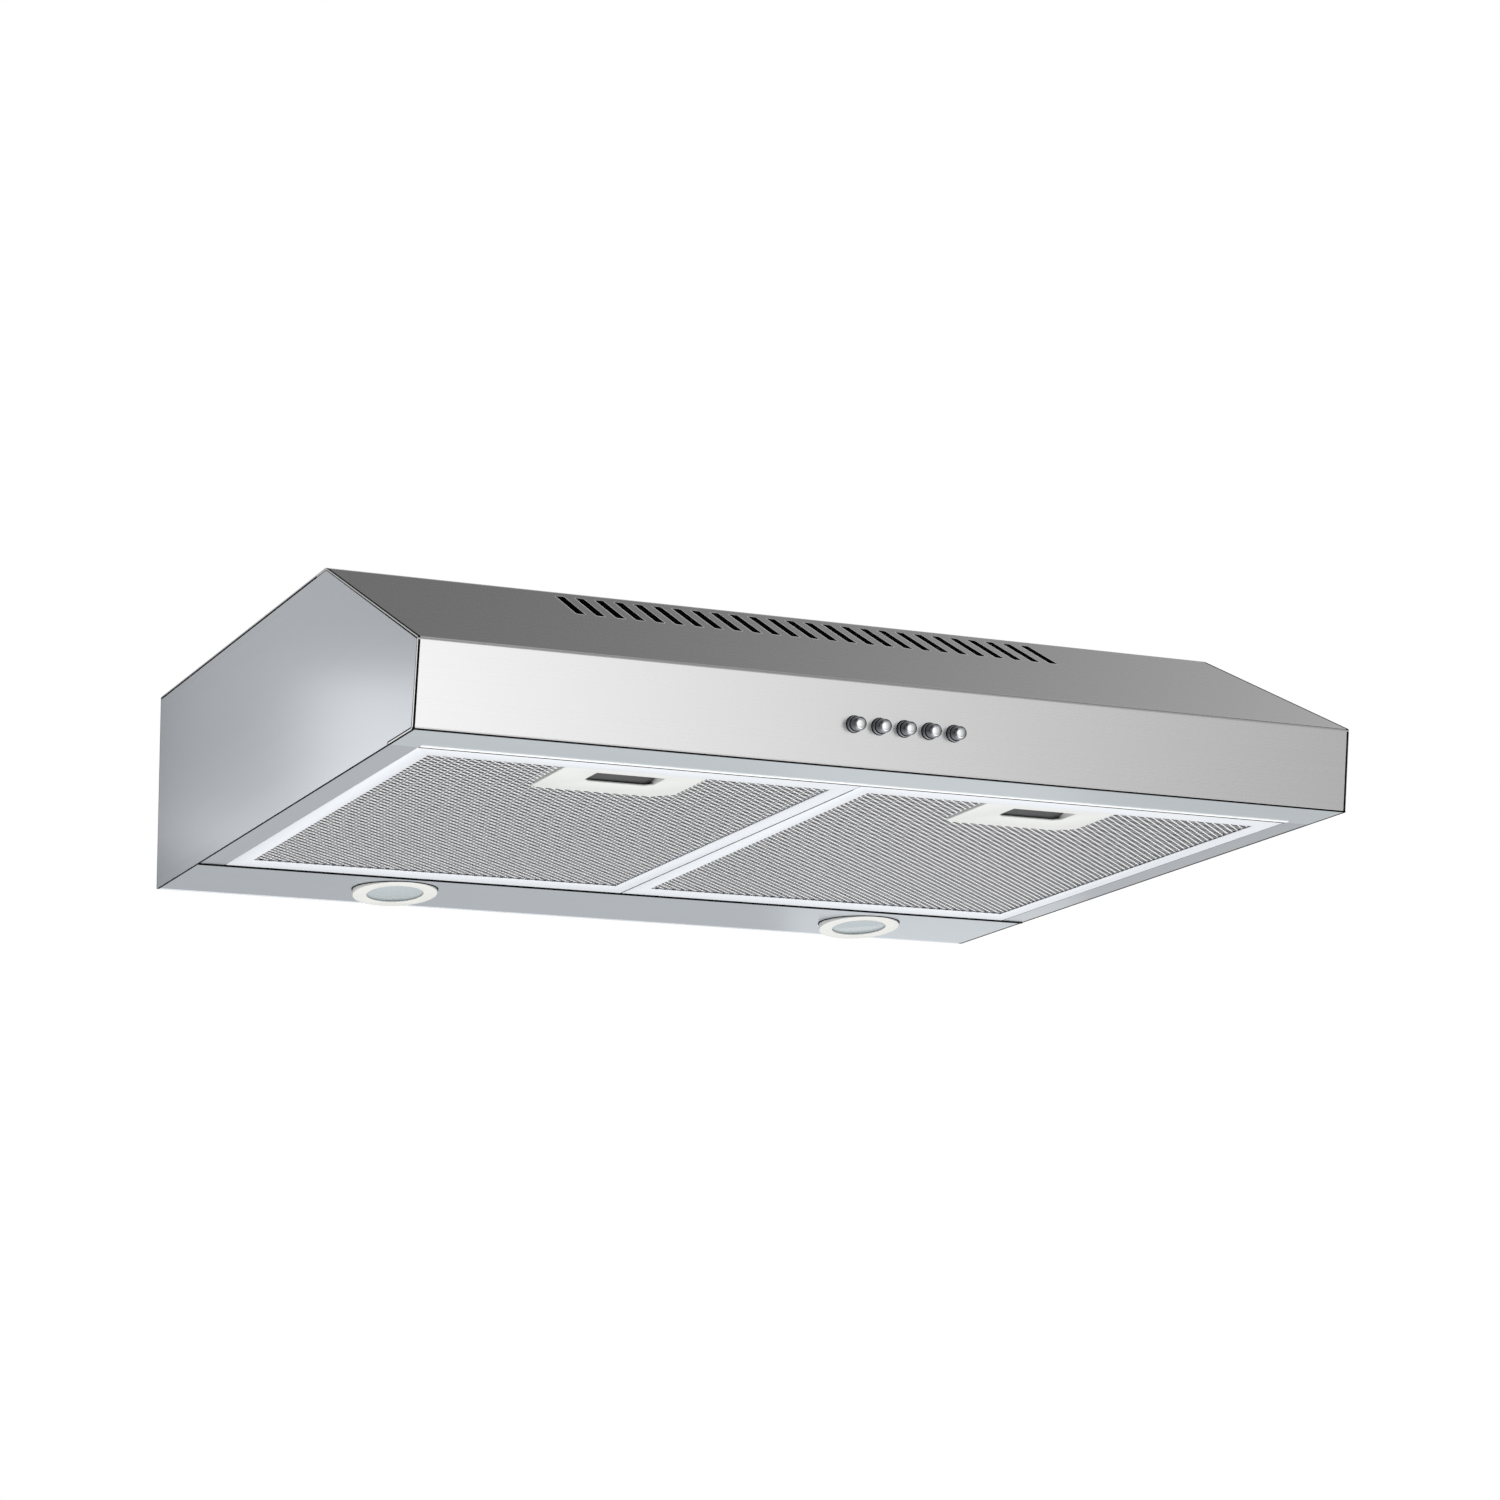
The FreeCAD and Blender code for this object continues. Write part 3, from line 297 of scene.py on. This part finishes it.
def expanded_metal(name, piece, mat, z, width, tilt, thick, replaced):
    """Rows of zigzag strands that touch at their peaks, each strand a tilted flat bar."""
    low, high, plate_low, plate_high = filter_spans(name)
    half_x, half_y = STRAND_PITCH_X / 2, STRAND_PITCH_Y / 2
    across = width / 2 * math.cos(tilt)
    rise = width / 2 * math.sin(tilt)
    section = np.array([
        (-across, -rise - thick), (across, rise - thick), (across, rise + thick), (-across, -rise + thick),
    ])
    verts, faces = [], []
    count = 0
    rows = int((high.y - low.y - width) / half_y)
    start = low.y + (high.y - low.y - rows * half_y) / 2
    for row in range(rows + 1):
        y = start + row * half_y
        spans = [(low.x, high.x)]
        if y < plate_high.y + 0.5 * MM:
            reach = PLATE_CORNER if y > plate_high.y - PLATE_CORNER else -0.3 * MM
            spans = [(low.x, plate_low.x + reach), (plate_high.x - reach, high.x)]
        for x0, x1 in spans:
            first = math.ceil((x0 - low.x) / half_x)
            last = math.floor((x1 - low.x) / half_x)
            steps = np.arange(first, last + 1)
            side = np.where((steps + row) % 2 == 0, 1.0, -1.0)
            x = low.x + steps * half_x
            peaks = y + side * half_y / 2
            ring = np.zeros((len(steps), 4, 3))
            ring[:, :, 0] = x[:, None]
            ring[:, :, 1] = np.clip(peaks[:, None] + section[None, :, 0], low.y, high.y)
            ring[:, :, 2] = z + section[None, :, 1]
            verts.append(ring.reshape(-1, 3))
            for k in range(len(steps) - 1):
                a = count + 4 * k
                faces += [(a + i, a + (i + 1) % 4, a + 4 + (i + 1) % 4, a + 4 + i) for i in range(4)]
            end = count + 4 * (len(steps) - 1)
            faces += [(count + 3, count + 2, count + 1, count), (end, end + 1, end + 2, end + 3)]
            count += 4 * len(steps)
    mesh = bpy.data.meshes.new(piece)
    mesh.from_pydata(np.concatenate(verts).tolist(), [], faces)
    mesh.update()
    return add_piece(piece, mesh, mat, f"{name}_filter", replaced, 25)


def filters():
    """Front and rear strands, frames, latch plates and latch sliders of both filters."""
    for name in SIDES:
        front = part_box(f"{name}_filter_front_mesh")
        middle = (front[0].z + front[1].z) / 2
        expanded_metal(name, f"{name}_front_strands", strand_aluminium, middle, 1.42 * MM, math.radians(2),
                       0.05 * MM, [f"{name}_filter_front_mesh"])
        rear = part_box(f"{name}_filter_rear_mesh")
        expanded_metal(name, f"{name}_rear_strands", strand_aluminium, (rear[0].z + rear[1].z) / 2, 1.5 * MM,
                       math.radians(-2), 0.05 * MM, [f"{name}_filter_rear_mesh"])
        softened(f"{name}_filter_frame", border_aluminium, f"{name}_filter", 0.35 * MM)
        softened(f"{name}_latch_plate", cream_plastic, f"{name}_filter", 0.35 * MM)
        # the slider is painted black as the shade deep in the latch plate's recess
        softened(f"{name}_latch_slider", black_plastic, f"{name}_latch", 0.3 * MM)


# ---------------------------------------------------------------- buttons

FASCIA_TURN = math.radians(90) + math.atan(TOE_SETBACK / FASCIA_RISE)


def fascia_matrix(x):
    """Moves a shape built along +Z so that it points out of the fascia at x."""
    place = Matrix.Translation((x, HOOD_FRONT + TOE_SETBACK / 2, CREASE_Z - FASCIA_RISE / 2))
    return place @ Matrix.Rotation(FASCIA_TURN, 4, "X")


def turned_piece(name, profile, matrix, mat, body, replaced):
    verts, faces = lathe(profile)
    mesh = mesh_from(name, [matrix @ v for v in verts], faces)
    return add_piece(name, mesh, mat, body, replaced, 35)


def dome(radius, low, height, steps=8):
    """(radius, height) points of a rounded end, from its shoulder to its middle."""
    turns = [math.pi / 2 * k / steps for k in range(steps)]
    return [(radius * math.cos(t) ** 0.4, low + height * math.sin(t)) for t in turns] + [(0, low + height)]


def buttons():
    """Chrome caps with a face in the lit chrome and a wall in a darker copy painted as the shade of its
    reflections, each in a ferrule of that darker copy, standing on a black ring painted as its contact
    shadow.
    """
    foot_out, foot_high = 5.15 * MM, 0.35 * MM
    face, stem = 9.45 * MM, 2.4 * MM
    for i, name in enumerate(BUTTONS):
        low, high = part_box(name)
        middle, radius = (low.x + high.x) / 2, (high.x - low.x) / 2
        turned = fascia_matrix(middle)
        wall = [(0, -20 * MM), (stem, -20 * MM), (stem, -1.5 * MM), (radius, -1.5 * MM)]
        wall += dome(radius, face - 1.7 * MM, 1.5 * MM)
        turned_piece(f"{name}_cap", wall, turned, chrome_painted_shade, name, [name])
        face_disc = [(0, face - 2.4 * MM), (radius - 0.75 * MM, face - 2.4 * MM)]
        face_disc += dome(radius - 0.75 * MM, face - 0.9 * MM, 0.9 * MM)
        turned_piece(f"{name}_face", face_disc, turned, chrome, name, [])
        ring = rounded(4.3 * MM, 4.85 * MM, 0.05 * MM, 2.45 * MM, 0.45 * MM)
        replaced = ["button_ferrules"] if i == 0 else []
        turned_piece(f"ferrule_{i + 1}", ring, turned, chrome_painted_shade, HOOD, replaced)
        # black ring round each ferrule's foot, painted as its contact shadow
        foot = rounded(4.8 * MM, foot_out, 0.02 * MM, foot_high, 0.1 * MM)
        turned_piece(f"ferrule_contact_shadow_{i + 1}", foot, turned, painted_shade_black, HOOD, [])


# ---------------------------------------------------------------- lamps

def lamps():
    """Bezels and lenses with softened edges, each bezel on a thin black ring painted as the shadow gap around
    it.
    """
    for name in SIDES:
        softened(f"{name}_lamp_bezel", bezel_plastic, HOOD, 0.5 * MM, 3)
        softened(f"{name}_lamp_lens", frosted_glass, HOOD, 0.4 * MM, 3)
        low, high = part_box(f"{name}_lamp_bezel")
        radius = (high.x - low.x) / 2
        middle = Matrix.Translation(((low.x + high.x) / 2, (low.y + high.y) / 2, FLOOR_Z))
        # black ring under each bezel's edge, painted as the shadow gap around it
        inner, outer = radius - 1 * MM, radius + 0.7 * MM
        bottom, top = -0.35 * MM, -0.02 * MM
        ring = [(inner, bottom), (outer, bottom), (outer, top), (inner, top), (inner, bottom)]
        turned_piece(f"{name}_lamp_gap_shade", ring, middle, painted_shade_black, HOOD, [])


# ---------------------------------------------------------------- visor

VISOR_A = Vector((0, TOP_FRONT, 0))
VISOR_B = Vector((0, HOOD_FRONT, CREASE_Z))

VENT_COUNT, VENT_PITCH, VENT_WIDTH, VENT_SLANT = 26, 12.65 * MM, 5.6 * MM, 5 * MM
VENT_NEAR, VENT_FAR, VENT_SHIFT = -356 * MM, -402 * MM, -1.5 * MM


def rounded_corners(corners, offset, radius, steps=5):
    """A convex plan outline moved outwards by an offset, with its corners rounded."""
    points = []
    for before, corner, after in zip(corners[-1:] + corners[:-1], corners, corners[1:] + corners[:1]):
        first, second = (corner - before).normalized(), (after - corner).normalized()
        out_a, out_b = Vector((first.y, -first.x)), Vector((second.y, -second.x))
        along = (offset - radius) / (1 + out_a.dot(out_b))
        middle = corner + (out_a + out_b) * along
        start = math.atan2(out_a.y, out_a.x)
        sweep = (math.atan2(out_b.y, out_b.x) - start) % (2 * math.pi)
        for k in range(steps + 1):
            turn = start + sweep * k / steps
            points.append(middle + Vector((math.cos(turn), math.sin(turn))) * radius)
    return points


def visor_height(y):
    """Height of the visor's outer face above a plan position."""
    slope = (VISOR_B.z - VISOR_A.z) / (VISOR_B.y - VISOR_A.y)
    return VISOR_A.z + (y - VISOR_A.y) * slope


def vent_outlines():
    """Plan corners of every slot in the row."""
    for i in range(VENT_COUNT):
        left = VENT_SHIFT + VENT_PITCH * (i - (VENT_COUNT - 1) / 2) - VENT_WIDTH / 2
        near, far = left + VENT_SLANT / 2, left - VENT_SLANT / 2
        yield [Vector((near, VENT_NEAR)), Vector((far, VENT_FAR)),
               Vector((far + VENT_WIDTH, VENT_FAR)), Vector((near + VENT_WIDTH, VENT_NEAR))]


def vent_frames(name, mat, loops):
    """A closed thin ring at every vent, a lip or a painted shade liner: each loop is an outline's offset,
    corner radius and lift.
    """
    verts, faces = [], []
    for corners in vent_outlines():
        start = len(verts)
        for offset, radius, lift in loops:
            outline = rounded_corners(corners, offset, radius)
            verts += [(p.x, p.y, visor_height(p.y) + lift) for p in outline]
        count = len(outline)
        for row in range(len(loops)):
            a, b = start + row * count, start + (row + 1) % len(loops) * count
            faces += [(a + k, a + (k + 1) % count, b + (k + 1) % count, b + k) for k in range(count)]
    add_piece(name, mesh_from(name, verts, faces), mat, HOOD)


def vents():
    """A thin lip around each vent painted near white as its highlight, and a black liner painted as the shade
    in its cut edge.
    """
    ridge, top, bottom = 0.10 * MM, 0.03 * MM, -1.1 * MM
    vent_frames("vent_rims", rim_painted_highlight, [
        (0.02 * MM, 1.2 * MM, -0.05 * MM), (0.10 * MM, 1.3 * MM, ridge), (0.50 * MM, 1.7 * MM, ridge),
        (0.60 * MM, 1.8 * MM, -0.05 * MM),
    ])
    # black liner down each slot's cut edge, painted as the shade inside it
    vent_frames("vent_well_shades", painted_shade_black, [
        (-0.12 * MM, 1.1 * MM, bottom), (-0.12 * MM, 1.1 * MM, top), (0.01 * MM, 1.2 * MM, top),
        (0.01 * MM, 1.2 * MM, bottom),
    ])


def strip(name, corners, mat):
    """A closed box between eight corners: four below, then the four above them."""
    faces = [(3, 2, 1, 0), (4, 5, 6, 7), (0, 1, 5, 4), (1, 2, 6, 5), (2, 3, 7, 6), (3, 0, 4, 7)]
    add_piece(name, mesh_from(name, corners, faces), mat, HOOD)


def bar(name, low, high, mat):
    """A strip whose sides follow the axes."""
    (x0, y0, z0), (x1, y1, z1) = low, high
    corners = [(x, y, z) for z in (z0, z1) for x, y in ((x0, y0), (x1, y0), (x1, y1), (x0, y1))]
    strip(name, corners, mat)


def gap_shades_and_lip():
    """Black strips painted as the shade in the gaps between the sheets and around the filters, the lip's skin
    painted lighter, and its hem painted as a highlight.
    """
    half = canopy_high.x
    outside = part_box("right_side_panel")[1].x - 0.05 * MM
    toe = Vector((0, HOOD_FRONT + TOE_SETBACK, FLOOR_Z))
    runs = {"visor": (VISOR_A, VISOR_B), "fascia": (VISOR_B, toe)}
    for side_name, side in (("left", -1), ("right", 1)):
        for run_name, (start, end) in runs.items():
            along = (end - start).normalized()
            out = Vector((0, along.z, -along.y))
            edge, inner = side * (half - 0.3 * MM), side * (half - 1.6 * MM)
            section = [(edge, -0.2 * MM), (inner, -0.2 * MM), (inner, 0.05 * MM), (edge, 0.05 * MM)]
            # black strip painted as the shadow in the gap where the side panel meets the visor and the fascia
            corners = [end_point + out * lift + Vector((x, 0, 0))
                       for end_point in (start + along * 1.5 * MM, end) for x, lift in section]
            strip(f"{side_name}_{run_name}_seam", corners, painted_shade_black)
        edge = sorted((side * outside, side * (half - 1.5 * MM)))
        # black strip painted as the shadow in the gap along the side panel's bottom edge
        bar(f"{side_name}_bottom_gap_shade", (edge[0], toe.y, FLOOR_Z - 0.06 * MM),
            (edge[1], -1 * MM, FLOOR_Z + 0.3 * MM), painted_shade_black)
    # black strip painted as the shadow in the gap under the fascia's toe
    bar("toe_gap_shade", (-half, toe.y - 0.1 * MM, FLOOR_Z),
        (half, toe.y + 0.2 * MM, FLOOR_Z + 0.75 * MM), painted_shade_black)
    pan_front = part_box("lamp_panel")[0].y
    left_low, left_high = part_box("left_filter_frame")
    lip_rear = left_low.y - 0.6 * MM
    below = FLOOR_Z - 0.35 * MM
    flange = -left_low.x
    # thin skin over the lip in the lighter, bluer copy of the steel, painted as the light the lip catches
    # from below
    bar("lip_painted_light_skin", (-half + 1.6 * MM, toe.y + 0.5 * MM, FLOOR_Z - 0.08 * MM),
        (half - 1.6 * MM, lip_rear, FLOOR_Z), lip_painted_light_steel)
    # strip painted near white as the highlight along the lip's hem
    bar("hem_highlight", (-flange, lip_rear - 5 * MM, below), (flange, lip_rear - 1.6 * MM, FLOOR_Z), rim_painted_highlight)
    # black strip painted as the shadow in the gap between the lip's hem and the filters
    bar("hem_gap_shade", (-flange, lip_rear - 1.6 * MM, below), (flange, lip_rear + 0.2 * MM, FLOOR_Z), painted_shade_black)
    # black strip painted as the shadow in the gap between the two filters
    bar("filter_seam", (left_high.x + 0.15 * MM, left_low.y + 12 * MM, FLOOR_Z + 0.1 * MM),
        (left_high.x + 1.2 * MM, pan_front - 2 * MM, FLOOR_Z + 1.2 * MM), painted_shade_black)
    # black strip painted as the shadow in the gap at the lamp panel's front edge
    bar("rear_gap_shade", (-half + 1 * MM, pan_front - 0.9 * MM, FLOOR_Z - 0.8 * MM),
        (half - 1 * MM, pan_front + 0.3 * MM, FLOOR_Z + 1.6 * MM), painted_shade_black)


# ---------------------------------------------------------------- studio

def lobe(tree_nodes, links, aim, sharpness, colour):
    """A soft patch of light around one direction of the world."""
    coord = tree_nodes.new("ShaderNodeTexCoord")
    dot = tree_nodes.new("ShaderNodeVectorMath")
    dot.operation = "DOT_PRODUCT"
    dot.inputs[1].default_value = Vector(aim).normalized()
    links.new(coord.outputs["Generated"], dot.inputs[0])
    gap = tree_nodes.new("ShaderNodeMath")
    gap.operation = "MULTIPLY_ADD"
    gap.inputs[1].default_value = sharpness
    gap.inputs[2].default_value = -sharpness
    links.new(dot.outputs["Value"], gap.inputs[0])
    power = tree_nodes.new("ShaderNodeMath")
    power.operation = "EXPONENT"
    links.new(gap.outputs[0], power.inputs[0])
    scaled = tree_nodes.new("ShaderNodeVectorMath")
    scaled.operation = "SCALE"
    scaled.inputs[0].default_value = colour
    links.new(power.outputs[0], scaled.inputs["Scale"])
    return scaled.outputs["Vector"]


WORLD_BASE = (0.01, 0.01, 0.01)
WORLD_LOBES = [
    # azimuth from +Y towards +X and elevation in degrees, sharpness, strength
    (180, -5, 30, 1.25),                    # front softbox, mirrored in the fascia
    (165, -5, 30, 1.25),
    (60, 35, 20, 1.0),                      # rear right, mirrored in the visor
    (-60, 12, 20, 2.0),                     # rear left, mirrored in the left side
    (25, -13, 25, 0.25),                    # rear low, mirrored in the underside
    (0, -90, 3, 2.75),                      # bounce from below
    (0, 90, 16, 1.25),                      # overhead
    (130, 25, 14, 0.5),                     # front right and front left, for the roof and the back
    (-120, 5, 10, 0.5),
    (-25, 52, 12, 0.5),                     # high rear and high front, for the roof
    (180, 45, 12, 0.5),
]


def direction(azimuth, elevation):
    """Unit vector for an azimuth from +Y towards +X and an elevation, in degrees."""
    turn, rise = math.radians(azimuth), math.radians(elevation)
    return Vector((math.cos(rise) * math.sin(turn), math.cos(rise) * math.cos(turn), math.sin(rise)))


def world():
    """Soft patches of light around the hood, which the camera sees as plain white."""
    sky = bpy.data.worlds.new("studio")
    bpy.context.scene.world = sky
    sky.use_nodes = True
    tree_nodes, links = sky.node_tree.nodes, sky.node_tree.links
    tree_nodes.clear()
    total = None
    for azimuth, elevation, sharpness, strength in WORLD_LOBES:
        patch = lobe(tree_nodes, links, direction(azimuth, elevation), sharpness, (strength,) * 3)
        add = tree_nodes.new("ShaderNodeVectorMath")
        add.operation = "ADD"
        if total is None:
            add.inputs[0].default_value = WORLD_BASE
        else:
            links.new(total, add.inputs[0])
        links.new(patch, add.inputs[1])
        total = add.outputs["Vector"]
    light = tree_nodes.new("ShaderNodeBackground")
    links.new(total, light.inputs["Color"])
    white = tree_nodes.new("ShaderNodeBackground")
    white.inputs["Color"].default_value = (1, 1, 1, 1)
    path = tree_nodes.new("ShaderNodeLightPath")
    mix = tree_nodes.new("ShaderNodeMixShader")
    links.new(path.outputs["Is Camera Ray"], mix.inputs["Fac"])
    links.new(light.outputs[0], mix.inputs[1])
    links.new(white.outputs[0], mix.inputs[2])
    output = tree_nodes.new("ShaderNodeOutputWorld")
    links.new(mix.outputs[0], output.inputs["Surface"])


SIDE_SPOT = (-0.3, -0.42, -0.06)
UNDER_SPOT = (0.28, -0.05, -0.13)
CARDS = [
    # place, aim, width and height, watts: small soft cards near the metal, which give its gradients
    ((-0.52, 0.20, 0.10), SIDE_SPOT, (0.30, 0.30), 0.10),
    ((-0.45, -0.12, -0.06), SIDE_SPOT, (0.12, 0.12), 0.03),
    ((-0.60, 0.30, -0.15), SIDE_SPOT, (0.30, 0.30), 0.20),
    ((0.50, 0.42, -0.22), UNDER_SPOT, (0.25, 0.20), 0.05),
]


def area_light(name, position, target, size, power):
    data = bpy.data.lights.new(name, "AREA")
    data.shape = "RECTANGLE"
    data.size, data.size_y = size
    data.energy = power
    obj = bpy.data.objects.new(name, data)
    obj.location = position
    obj.rotation_euler = (Vector(target) - Vector(position)).to_track_quat("-Z", "Y").to_euler()
    obj.visible_camera = False
    bpy.context.scene.collection.objects.link(obj)


FLOOR_REACH = 6.0                           # half the floor's side, in metres
FLOOR_DEPTH = -1.9
FLOOR_GLOW = 0.55


def studio():
    """World light, cards, and a floor that is seen but lights and shades nothing."""
    world()
    for i, (position, target, size, power) in enumerate(CARDS):
        area_light(f"card_{i + 1}", position, target, size, power)
    signs = ((-1, -1), (1, -1), (1, 1), (-1, 1))
    corners = [(FLOOR_REACH * x, FLOOR_REACH * y, FLOOR_DEPTH) for x, y in signs]
    floor = bpy.data.objects.new("floor", mesh_from("floor", corners, [(0, 1, 2, 3)]))
    bpy.context.scene.collection.objects.link(floor)
    floor.visible_diffuse = floor.visible_glossy = floor.visible_shadow = False
    pale = surface("pale_floor", (0.92, 0.92, 0.92), 0, 0.7, (3, 3, 3), 0.01, 0.03)
    glow = pale.node_tree.nodes["Principled BSDF"]
    glow.inputs["Emission Color"].default_value = (1, 1, 1, 1)
    glow.inputs["Emission Strength"].default_value = FLOOR_GLOW
    paint(floor, pale)


CAMERA_PLACE = (-0.9572, -2.3381, -0.5877)
CAMERA_AZIMUTH, CAMERA_ELEVATION, CAMERA_ROLL = 25.0, 12.84, -0.757
CAMERA_LENS = 88.77                         # millimetres, on a sensor 36 mm wide


def camera():
    """Camera below the hood's left front, looking up at it."""
    data = bpy.data.cameras.new("camera")
    data.lens = CAMERA_LENS
    data.sensor_width = 36
    data.clip_end = 50
    forward = direction(CAMERA_AZIMUTH, CAMERA_ELEVATION)
    right = forward.cross(Vector((0, 0, 1))).normalized()
    up = right.cross(forward)
    turn = Matrix.Rotation(math.radians(CAMERA_ROLL), 3, -forward)
    axes = Matrix((turn @ right, turn @ up, -forward)).transposed()
    obj = bpy.data.objects.new("camera", data)
    obj.matrix_world = Matrix.Translation(CAMERA_PLACE) @ axes.to_4x4()
    bpy.context.scene.collection.objects.link(obj)
    bpy.context.scene.camera = obj


paint_cad_nodes()
filters()
buttons()
lamps()
vents()
gap_shades_and_lip()
studio()
camera()
bpy.context.scene.view_settings.view_transform = "Standard"
